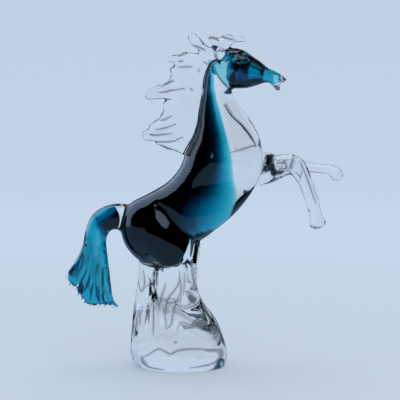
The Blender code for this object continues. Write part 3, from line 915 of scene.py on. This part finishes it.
# Lines over the tail's patches, as colour, half width and route: its own tints, with painted shade along its
# edges and between its strands, and lighter runs down its middle
TAIL_STREAKS_AND_PAINTED_LIGHT = (
    ("black", 2.3, ((105, 229), (107.5, 240), (109.5, 252), (111.3, 270), (112.7, 288), (114, 303))),
    ("black", 1.0, ((86.5, 228), (89.5, 218), (96, 210), (104, 204.5), (113, 201.5), (123, 201))),
    ("navy", 1.6, ((86, 228), (84.5, 243), (81, 256), (77, 267), (73, 277))),
    ("navy", 1.0, ((84, 254), (81, 266), (75, 278))),
    ("navy", 1.1, ((87, 270), (83.5, 278), (80, 286))),
    ("navy", 1.3, ((90, 276), (87, 285), (84, 292))),
    ("navy", 1.0, ((94, 284), (91.5, 291), (91, 300))),
    ("blue", 0.9, ((92, 232), (90, 252), (85, 266))),
    ("light", 1.8, ((97.5, 232), (96.5, 248), (98, 262))),
    ("light", 1.9, ((99.5, 258), (100, 274), (97, 290))),
    ("light", 1.2, ((105, 282), (106, 292), (106, 300))),
    ("black", 0.6, ((97.6, 263), (96.6, 269), (95, 274))),
    ("black", 1.0, ((103, 268), (103.2, 280), (102.5, 291))),
    ("navy", 1.3, ((104, 292), (103, 298), (106, 303))),
    ("navy", 1.3, ((96, 287), (97, 296), (99, 303))),
)


def span_distance(start, end, across, down):
    """How far each point is from a straight span, and where along the span it's nearest."""
    dx, dy = end[0] - start[0], end[1] - start[1]
    t = np.clip(((across - start[0]) * dx + (down - start[1]) * dy) / (dx * dx + dy * dy + 1e-9), 0, 1)
    return np.hypot(across - start[0] - t * dx, down - start[1] - t * dy), t


def run_distance(route, across, down):
    """How far each point is from a route, and where along the route it's nearest, from 0 to 1."""
    fine = smooth_stations([list(place) for place in route])
    nearest, along = np.full(len(across), 1e9), np.zeros(len(across))
    for i, (start, end) in enumerate(zip(fine, fine[1:])):
        far, t = span_distance(start, end, across, down)
        closer = far < nearest
        nearest[closer], along[closer] = far[closer], ((i + t) / (len(fine) - 1))[closer]
    return nearest, along


def inside_of(corners, across, down):
    """How deep each point lies inside a flat shape with these corners; outside it's below 0."""
    inside, edge = np.zeros(len(across), bool), np.full(len(across), 1e9)
    for (x0, y0), (x1, y1) in zip(corners, corners[1:] + corners[:1]):
        meets = (x1 - x0) * (down - y0) / (y1 - y0 + 1e-9) + x0
        crossing = ((y0 > down) != (y1 > down)) & (across < meets)
        inside ^= crossing
        edge = np.minimum(edge, span_distance((x0, y0), (x1, y1), across, down)[0])
    return np.where(inside, edge, -edge)


def seen(mesh, look, share):
    """Each point as the photograph, or a mirrored one from the left, shows it, and its normal."""
    count = len(mesh.vertices)
    places, normals = np.empty(count * 3), np.empty(count * 3)
    mesh.vertices.foreach_get("co", places)
    mesh.vertices.foreach_get("normal", normals)
    places, normals = places.reshape(-1, 3), normals.reshape(-1, 3)
    on_left = normals[:, 1] > 0
    mirrored = places.copy()
    mirrored[on_left, 1] *= -1
    across, down = project(mirrored, look, share)
    return places, normals, on_left, across, down


def tapered(along, least):
    """The share of its width that a stroke has along it: least at its ends and 1 in its middle."""
    return least + (1 - least) * np.sin(np.pi * along)


def ink(mesh, look, share, ground, swirls, streaks_and_painted_light=()):
    """Paints over a mesh's ground colour with patches, then with lines along routes: tints of the glass and
    painted light and shade, kept in a colour attribute.
    """
    _, _, _, across, down = seen(mesh, look, share)
    shades = np.tile(np.array(TINTS_AND_PAINTED_LIGHT[ground]), (len(across), 1))
    for name, corners in swirls:
        cover = np.clip(inside_of(corners, across, down) / SWIRL_EDGE + 0.5, 0, 1)[:, None]
        shades = shades * (1 - cover) + np.array(TINTS_AND_PAINTED_LIGHT[name]) * cover
    for name, half_width, route in streaks_and_painted_light:
        far, along = run_distance(route, across, down)
        cover = np.exp(-((far / half_width / tapered(along, STREAK_END)) ** 4))[:, None]
        shades = shades * (1 - cover) + np.array(TINTS_AND_PAINTED_LIGHT[name]) * cover
    shades = np.concatenate([shades, np.ones((len(across), 1))], axis=1)
    mesh.attributes.new("ink", "FLOAT_COLOR", "POINT").data.foreach_set("color", shades.ravel())


class Chisel:
    """Presses strokes into a skin's flanks, and paints shade along their folds and on dark patches."""

    def __init__(self, skin, look, share):
        self.skin, self.look, self.share = skin, look, share
        # Each stroke as route, half width, depth, darkness of its painted shade, share on the left and cuts
        self.strokes = []

    def draw(self, routes, *hand):
        """Plans strokes along these routes, all pressed by the same hand."""
        self.strokes += [(route, *hand) for route in routes]

    def refine(self, done, reach):
        """Cuts the faces along the strokes finer, where that's been done fewer times than they ask."""
        _, _, _, across, down = seen(self.skin, self.look, self.share)
        near = np.zeros(len(across), bool)
        for route, half_width, _, _, _, cuts in self.strokes:
            if cuts > done:
                near |= run_distance(route, across, down)[0] < reach * half_width
        for _, corners in SHADES.values():
            near |= np.abs(inside_of(corners, across, down)) < reach / 2
        bm = bmesh.new()
        bm.from_mesh(self.skin)
        bm.verts.ensure_lookup_table()
        edges = [e for e in bm.edges if near[e.verts[0].index] and near[e.verts[1].index]]
        made = bmesh.ops.subdivide_edges(bm, edges=edges, cuts=1, use_grid_fill=True)
        fresh = [item for item in made["geom_split"] if isinstance(item, bmesh.types.BMVert)]
        bmesh.ops.smooth_vert(
            bm, verts=[v for v in fresh if v.co.z > self.share], factor=0.5,
            use_axis_x=True, use_axis_y=True, use_axis_z=True,
        )
        bm.to_mesh(self.skin)
        bm.free()

    def thin(self, places, across, down):
        """Thins the flanks towards the blades' edges."""
        for route, rows, edge, slope, reach in BLADES:
            far, _ = run_distance(route, across, down)
            half = np.abs(places[:, 1]) / self.share
            wanted = edge + slope * far
            either = (half ** BLADE_TURN + wanted ** BLADE_TURN + 1e-9) ** (1 / BLADE_TURN)
            soft = half * wanted / either
            ahead = across - np.interp(down, *np.array(route).T[::-1])
            inside = np.clip((reach - far) / (BLADE_FADE * reach), 0, 1)
            inside *= 1 - np.clip(ahead / AHEAD_OF_BLADE, 0, 1)
            ends = np.interp(down, rows, (0, 1, 1, 0))
            ends, inside = (w * w * (3 - 2 * w) for w in (ends, inside))
            places[:, 1] *= 1 - inside * ends * (1 - soft / (half + 1e-9))

    def press(self):
        """Moves the skin along its normals, and writes the painted shade of its folds and dark patches."""
        places, normals, on_left, across, down = seen(self.skin, self.look, self.share)
        fold, push = np.zeros(len(across)), np.zeros(len(across))
        for route, half_width, depth, dark, left, _ in self.strokes:
            far, along = run_distance(route, across, down)
            bell = np.exp(-((far / half_width / tapered(along, STROKE_END)) ** 2))
            bell *= np.where(on_left, left, 1.0)
            push -= depth * bell
            fold = np.maximum(fold, dark * bell)
        # Dark patches, painted with shade all over
        for dark, corners in SHADES.values():
            cover = np.clip(inside_of(corners, across, down) + 0.5, 0, 1) * ~on_left
            fold = np.maximum(fold, dark * cover)
        self.thin(places, across, down)
        push[places[:, 2] < 1.5 * self.share] = 0
        places = places + normals * push[:, None] * self.share
        self.skin.vertices.foreach_set("co", places.ravel())
        self.skin.attributes.new("fold", "FLOAT", "POINT").data.foreach_set("value", fold)
        self.skin.update()


def press_skin(skin, look, share):
    """Presses the folds, grooves and seams of the real glass into the skin."""
    chisel = Chisel(skin, look, share)
    for routes, *hand in STROKES:
        chisel.draw(routes, *hand)
    chisel.draw(tail_grooves(), *TAIL_GROOVE_PRESS)
    for done, reach in enumerate(REFINE_REACH):
        chisel.refine(done, reach)
    chisel.press()


def tail_grooves():
    """The grooves between the tail's strands, as routes in the photograph's pixels."""
    tops, feet = np.array(GROOVE_TOPS), np.array(GROOVE_FEET)
    for i in range(TAIL_GROOVES):
        across = i / (TAIL_GROOVES - 1)
        top = tops[0] + (tops[1] - tops[0]) * across + (0, GROOVE_STAGGER * (i % 3))
        foot = feet[0] + (feet[1] - feet[0]) * across + (0, GROOVE_SAG * math.sin(1.4 * across))
        yield top, (top + foot) / 2 + (2 - 3 * across, 0), foot


def finish_piece(piece, material, replaced=None):
    """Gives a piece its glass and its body."""
    piece.data.materials.clear()
    piece.data.materials.append(material)
    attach(piece, BODY)
    if replaced:
        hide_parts(replaced)


# Painted shade at the outline: from how steep a view clear glass is darkened towards its outline, and how
# much
RIM_START = 0.80
RIM_DARKNESS = 0.75
# How much glass bends light where it meets air, and where it's fused to other glass
GLASS_IOR = 1.5
FUSED_IOR = 1.0


def glass_on(board, shade, bending, **depth):
    """The board's material, as smooth glass of one shade that bends light this much."""
    shader = board.node(
        "ShaderNodeBsdfPrincipled",
        sockets={"Base Color": shade, "Roughness": 0.0, "IOR": bending, "Transmission Weight": 1.0},
    )
    board.node("ShaderNodeOutputMaterial", sockets={"Surface": shader.outputs[0], **depth})
    return board.owner


def clear_glass(colours):
    """Clear glass, with shade painted in its folds, on its dark patches and where it's seen along its
    surface.
    """
    board = Board(bpy.data.materials.new("clear_glass"))
    facing = board.value("ShaderNodeLayerWeight", sockets={"Blend": 0.5}, output=1)
    fold = board.value("ShaderNodeAttribute", {"attribute_name": "fold"}, output=2)
    # The outline, the folds and the dark patches are darkened by painted shade
    rim = facing.rising(RIM_START, 1.0) * RIM_DARKNESS
    shade = board.mixed(rim, tuple(colours.clear), tuple(colours.fold))
    shade = board.mixed(fold, shade, tuple(colours.fold))
    return glass_on(board, shade, GLASS_IOR)


def coloured_glass(name, tint):
    """Coloured glass in threads too thin for their depth to matter."""
    return glass_on(Board(bpy.data.materials.new(name)), (*tint, 1.0), GLASS_IOR)


def glass_with_painted_light(name):
    """Glass fused to what surrounds it, that's coloured all over by its tints and its painted light and
    shade.
    """
    board = Board(bpy.data.materials.new(name))
    tint = board.node("ShaderNodeAttribute", {"attribute_name": "ink"}).outputs["Color"]
    return glass_on(board, tint, FUSED_IOR)


def tinted_glass(name, tint, density):
    """Glass that is fused to what surrounds it, so only its colour shows."""
    board = Board(bpy.data.materials.new(name))
    depth = board.node(
        "ShaderNodeVolumeAbsorption", sockets={"Color": (*tint, 1.0), "Density": density}
    )
    return glass_on(board, (1.0, 1.0, 1.0, 1.0), FUSED_IOR, Volume=depth.outputs[0])


class HORSE_OT_skin(Operator):
    """Melts the clear skin of the whole horse from its gathers"""

    bl_idname = "horse.skin"
    bl_label = "Clear skin"

    def execute(self, context):
        heavy, drawn = (Bench(context.scene.horse_sizes) for _ in range(2))
        share = heavy.share
        for add in (add_body, add_muscles, add_hind_legs, add_foot):
            add(heavy)
        for add in (add_head, add_mane, add_forelegs, add_tail):
            add(drawn)
        base = melted("heavy_gathers", heavy.mesh("heavy"), HEAVY_MELT, share)
        whole = joined("gathers", (base, drawn.mesh("drawn")))
        skin = melted("glass_skin", whole, FINE_MELT, share)
        cut_flat(skin)
        press_skin(skin, context.scene.horse_studio, share)
        piece = piece_of("glass_skin", skin)
        finish_piece(piece, clear_glass(context.scene.horse_colours), NODE)
        return {"FINISHED"}


# Ribs of the body's cores, as front x and z, back x and z, half width in shares of the barrel's
# width, and keel
PALE_RIBS = (
    (34.5, 309, 30, 311, 0.07, 0), (36, 292, 28, 294, 0.11, 0), (36.5, 272, 25.5, 276, 0.14, 0),
    (41, 253.5, 22, 260, 0.19, 0), (46.5, 231, 17.5, 243, 0.26, 0), (50, 217, 13, 228, 0.34, 0.3),
    (54, 193, 5, 206, 0.42, 0.4), (57, 176, -7, 192, 0.46, 0.4), (51, 156, -25, 178, 0.48, 0.4),
    (34, 141, -42, 167, 0.48, 0.3), (11, 131, -51, 154, 0.48, 0.2), (-4, 114, -53, 134, 0.46, 0),
    (-13, 104, -50, 119, 0.38, 0), (-20, 102, -40, 108, 0.23, 0),
)
DARK_RIBS = (
    (33.5, 308, 30, 310, 0.06, 0.3), (34, 292, 28, 294, 0.10, 0.5), (34, 272, 25.5, 276, 0.13, 0.6),
    (37, 253.5, 22, 260, 0.18, 0.7), (42, 231, 17.5, 243, 0.25, 0.9), (44, 217, 13, 228, 0.33, 1.2),
    (45, 193, 5, 206, 0.40, 1.6), (46, 173, -7, 192, 0.44, 2.0), (37, 154, -25, 178, 0.44, 2.3),
    (23, 139, -42, 167, 0.45, 1.5), (10, 131, -51, 154, 0.46, 0.3), (-3.5, 114, -52.5, 134, 0.45, 0),
    (-12.5, 104, -49.5, 119, 0.37, 0), (-19.5, 102, -39.5, 108, 0.22, 0),
)


def seal(mesh, skin, inset):
    """Draws a core in wherever it comes closer than inset to the skin that it's sealed in."""
    graph = bpy.context.evaluated_depsgraph_get()
    tree = BVHTree.FromObject(skin, graph)
    for vertex in mesh.vertices:
        place, normal, _, _ = tree.find_nearest(vertex.co)
        depth = (place - vertex.co).dot(normal)
        if depth < inset:
            vertex.co = place - normal * inset


class HORSE_OT_body_cores(Operator):
    """Seals the pale and the dark core in the neck, the barrel and the rump"""

    bl_idname = "horse.body_cores"
    bl_label = "Body cores"

    def execute(self, context):
        sizes, colours = context.scene.horse_sizes, context.scene.horse_colours
        skin = bpy.data.objects["glass_skin"]
        for name, ribs, tint, density, inset in (
            ("pale_core", PALE_RIBS, colours.tint, colours.pale_density, PALE_INSET),
            ("dark_core", DARK_RIBS, colours.smoke, colours.dark_density, DARK_INSET),
        ):
            bench = Bench(sizes)
            bench.ribbed(ribs, sizes.barrel_width)
            mesh = bench.mesh(name)
            seal(mesh, skin, inset * bench.share)
            finish_piece(piece_of(name, mesh), tinted_glass(name, tuple(tint), density))
        return {"FINISHED"}


class HORSE_OT_head_core(Operator):
    """Seals the core in the head, tinted and painted with light and shade"""

    bl_idname = "horse.head_core"
    bl_label = "Head core"

    def execute(self, context):
        bench = Bench(context.scene.horse_sizes)
        share = bench.share
        bench.gather(bench.stations(HEAD[:-1] + (HEAD_CORE_END,), bench.sizes.head_width))
        mesh = melted("head_core", bench.mesh("head_core"), HEAD_CORE_MELT, share)
        seal(mesh, bpy.data.objects["glass_skin"], HEAD_INSET * share)
        ink(mesh, context.scene.horse_studio, share, HEAD_GROUND, HEAD_SWIRLS_AND_PAINTED_LIGHT)
        finish_piece(piece_of("head_core", mesh), glass_with_painted_light("head_core"))
        return {"FINISHED"}


class HORSE_OT_tail_core(Operator):
    """Seals the core in the tail, tinted and painted with light and shade"""

    bl_idname = "horse.tail_core"
    bl_label = "Tail core"

    def execute(self, context):
        sizes, colours = context.scene.horse_sizes, context.scene.horse_colours
        bench = Bench(sizes)
        share = bench.share
        bench.gather(tail_rod(bench, ROD_INSET)[CLEAR_ROOT:])
        for strand in tail_strands(bench, STRAND_INSET):
            bench.gather(strand, LOCK_SIDES)
        bench.gather(bench.stations(TAIL_KICK, share), LOCK_SIDES)
        mesh = melted("tail_core", bench.mesh("tail_core"), TAIL_CORE_MELT, share)
        seal(mesh, bpy.data.objects["glass_skin"], TAIL_INSET * share)
        ink(mesh, context.scene.horse_studio, share, TAIL_GROUND, TAIL_SWIRLS_AND_PAINTED_LIGHT, TAIL_STREAKS_AND_PAINTED_LIGHT)
        finish_piece(piece_of("tail_core", mesh), glass_with_painted_light("tail_core"))
        threads = Bench(sizes)
        add_tail_curls(threads)
        mesh = melted("tail_curls", threads.mesh("tail_curls"), CURL_MELT, share)
        finish_piece(piece_of("tail_curls", mesh), coloured_glass("curl_glass", tuple(colours.curl)))
        return {"FINISHED"}


# Pale stretches round the studio, seen through the glass: degrees from +X between which each
# comes up, degrees between which it goes down again, and strength
PALE_STRETCHES = ((6, 12, 162, 166, 1.0), (171, 175, 222, 232, 0.85), (285, 295, 346, 352, 0.85))
# The heights between which those stretches dim, and by how much
DIMMED_ABOVE = (0.5, 0.8, 0.85)
# The heights between which the pale floor takes over, and between which the backdrop goes from
# its low to its top colour
PALE_BELOW = (-0.02, -0.12)
BACKDROP_RISE = (-0.25, 0.25)
# What the glass mirrors, each over the ones before it: a light's colour in the studio's look,
# none for a dark part, and its edges, as a way and how close to it the light sets in and is full
MIRRORED = (
    ("backdrop_low", ((0, 1, 0), 0.35, 0.6), ((0, 0, 1), -0.03, 0.03), ((0, 0, -1), -0.7, -0.5)),
    ("table", ((0, -1, 0), -0.25, -0.15), ((-0.25, 0, -1), 0.10, 0.14)),
    ("window", ((-0.2, 1, 0), -0.02, 0.02), ((-1, 0, 0), 0.05, 0.2), ((0, 0, 1), -0.03, 0.03)),
    ("window", ((0.272, -0.583, 0.766), 0.942, 0.962)),
    ("table", ((0, 0, -1), 0.02, 0.12), ((0, 1, 0), 0.1, 0.3)),
    (None, ((0, 1, 0), 0.80, 0.93)),
)
DARK = (0.0, 0.0, 0.0)


def light_through(board, look, way):
    """What clear glass shows of the studio behind it: pale stretches and dark gaps between them."""
    axes = board.node("ShaderNodeSeparateXYZ", sockets={0: way})
    x, y, z = (Value(board, axes.outputs[i]) for i in range(3))
    turn = board.value("ShaderNodeMath", {"operation": "ARCTAN2"}, {0: y, 1: x}) * (180 / math.pi)
    around = board.value("ShaderNodeMath", {"operation": "MODULO"}, {0: turn + 360.0, 1: 360.0})
    lit = 0
    for up_from, up_to, down_from, down_to, strength in PALE_STRETCHES:
        stretch = around.rising(up_from, up_to) * (1 - around.rising(down_from, down_to))
        lit = stretch * strength + lit
    dim_from, dim_to, dimming = DIMMED_ABOVE
    lit = lit * (1 - z.rising(dim_from, dim_to) * dimming)
    pale = 1 - (1 - lit) * (1 - z.rising(*PALE_BELOW))
    return board.mixed(pale, tuple(look.gap), tuple(look.backdrop_low))


def light_mirrored(board, look, way):
    """What glass mirrors: a dark studio with a table, a window, a lamp and a pale wall behind."""
    shade = DARK
    for name, *edges in MIRRORED:
        share = 1
        for axis, low, high in edges:
            along = board.value(
                "ShaderNodeVectorMath", {"operation": "DOT_PRODUCT"}, {0: way, 1: axis}, output=1
            )
            share = along.rising(low, high) * share
        shade = board.mixed(share, shade, tuple(getattr(look, name)) if name else DARK)
    return shade


def backdrop(look):
    """A pale backdrop for the camera, and the studio's pale and dark sides for the glass."""
    world = bpy.data.worlds.new("studio")
    bpy.context.scene.world = world
    board = Board(world)
    way = board.node("ShaderNodeTexCoord").outputs["Generated"]
    height = Value(board, board.node("ShaderNodeSeparateXYZ", sockets={0: way}).outputs[2])
    low, top = tuple(look.backdrop_low), tuple(look.backdrop_top)
    sky = board.mixed(height.rising(*BACKDROP_RISE), low, top)
    seen_by = board.node("ShaderNodeLightPath").outputs
    shade = board.mixed(
        seen_by["Is Transmission Ray"],
        light_mirrored(board, look, way), light_through(board, look, way),
    )
    shade = board.mixed(seen_by["Is Diffuse Ray"], shade, low)
    shade = board.mixed(seen_by["Is Camera Ray"], shade, sky)
    glow = board.node("ShaderNodeBackground", sockets={"Color": shade, "Strength": 1.0})
    board.node("ShaderNodeOutputWorld", sockets={"Surface": glow.outputs[0]})


def softbox(name, place, aim, side, power):
    """A soft square lamp that the camera doesn't see."""
    lamp = bpy.data.lights.new(name, "AREA")
    lamp.shape = "SQUARE"
    lamp.size = side
    lamp.energy = power
    holder = bpy.data.objects.new(name, lamp)
    bpy.context.scene.collection.objects.link(holder)
    holder.location = place
    holder.rotation_euler = (Vector(aim) - Vector(place)).to_track_quat("-Z", "Y").to_euler()
    holder.visible_camera = False
    holder.visible_transmission = False


class HORSE_OT_stage(Operator):
    """Sets the floor, the backdrop, the lamps and the camera"""

    bl_idname = "horse.stage"
    bl_label = "Stage"

    def execute(self, context):
        look = context.scene.horse_studio
        scene = context.scene
        middle = Vector(AIM)
        back = Vector((0, -math.cos(look.camera_height), math.sin(look.camera_height)))
        data = bpy.data.cameras.new("camera")
        data.lens, data.sensor_width = look.lens, SENSOR
        camera = bpy.data.objects.new("camera", data)
        scene.collection.objects.link(camera)
        camera.location = middle + back * look.camera_distance
        camera.rotation_euler = (-back).to_track_quat("-Z", "Y").to_euler()
        scene.camera = camera
        scene.view_settings.view_transform = "Standard"
        scene.cycles.max_bounces = 32
        scene.cycles.transmission_bounces = 32
        scene.cycles.transparent_max_bounces = 16
        backdrop(look)
        softbox("top_softbox", (0.1, 0.2, 1.4), aim=(0, 0, 0.17), side=0.6, power=3.0)
        self.floor(look)
        return {"FINISHED"}

    def floor(self, look):
        """A pale disc that fades into the backdrop."""
        bm = bmesh.new()
        bmesh.ops.create_circle(bm, cap_ends=True, segments=96, radius=FLOOR_RADIUS)
        mesh = bpy.data.meshes.new("floor")
        bm.to_mesh(mesh)
        bm.free()
        floor = piece_of("floor", mesh)
        material = bpy.data.materials.new("floor")
        board = Board(material)
        place = board.node("ShaderNodeTexCoord").outputs["Object"]
        far = board.value("ShaderNodeVectorMath", {"operation": "LENGTH"}, {0: place}, output=1)
        glow = board.node(
            "ShaderNodeEmission", sockets={"Color": (*look.floor, 1.0), "Strength": FLOOR_GLOW}
        )
        matt = board.node("ShaderNodeBsdfDiffuse", sockets={"Color": (*look.floor_matt, 1.0)})
        both = board.node("ShaderNodeAddShader", sockets={0: glow.outputs[0], 1: matt.outputs[0]})
        gone = board.node("ShaderNodeBsdfTransparent")
        edge = board.node(
            "ShaderNodeMixShader",
            sockets={0: far.rising(*FLOOR_FADE), 1: both.outputs[0], 2: gone.outputs[0]},
        )
        board.node("ShaderNodeOutputMaterial", sockets={"Surface": edge.outputs[0]})
        mesh.materials.append(material)
        floor.visible_glossy = False


OPERATORS = (HORSE_OT_stage, HORSE_OT_skin, HORSE_OT_body_cores, HORSE_OT_head_core, HORSE_OT_tail_core)


class HORSE_PT_panel(Panel):
    """Lists the horse's pieces, sizes and colours"""

    bl_label = "Glass Horse"
    bl_idname = "HORSE_PT_panel"
    bl_space_type = "VIEW_3D"
    bl_region_type = "UI"
    bl_category = "Glass Horse"

    def draw(self, context):
        scene = context.scene
        for operator in OPERATORS:
            self.layout.operator(operator.bl_idname)
        for group in (scene.horse_sizes, scene.horse_colours, scene.horse_studio):
            for name in group.bl_rna.properties.keys():
                if name not in ("rna_type", "name"):
                    self.layout.prop(group, name)


GROUPS = {"horse_sizes": HorseSizes, "horse_colours": GlassColours, "horse_studio": StudioLook}


def register():
    """Adds the settings, the operators and the panel to Blender."""
    for cls in (*GROUPS.values(), *OPERATORS, HORSE_PT_panel):
        bpy.utils.register_class(cls)
    for name, group in GROUPS.items():
        setattr(bpy.types.Scene, name, PointerProperty(type=group))


def unregister():
    """Takes them out again."""
    for name in GROUPS:
        delattr(bpy.types.Scene, name)
    for cls in (HORSE_PT_panel, *OPERATORS[::-1], *GROUPS.values()):
        bpy.utils.unregister_class(cls)


def main():
    """Builds the stage and every piece."""
    for obj in list(bpy.data.objects):
        if obj.type in ("LIGHT", "CAMERA") or obj.name == "Cube":
            bpy.data.objects.remove(obj, do_unlink=True)
    register()
    bpy.ops.horse.stage()
    bpy.ops.horse.skin()
    bpy.ops.horse.body_cores()
    bpy.ops.horse.head_core()
    bpy.ops.horse.tail_core()


if __name__ == "__main__":
    main()
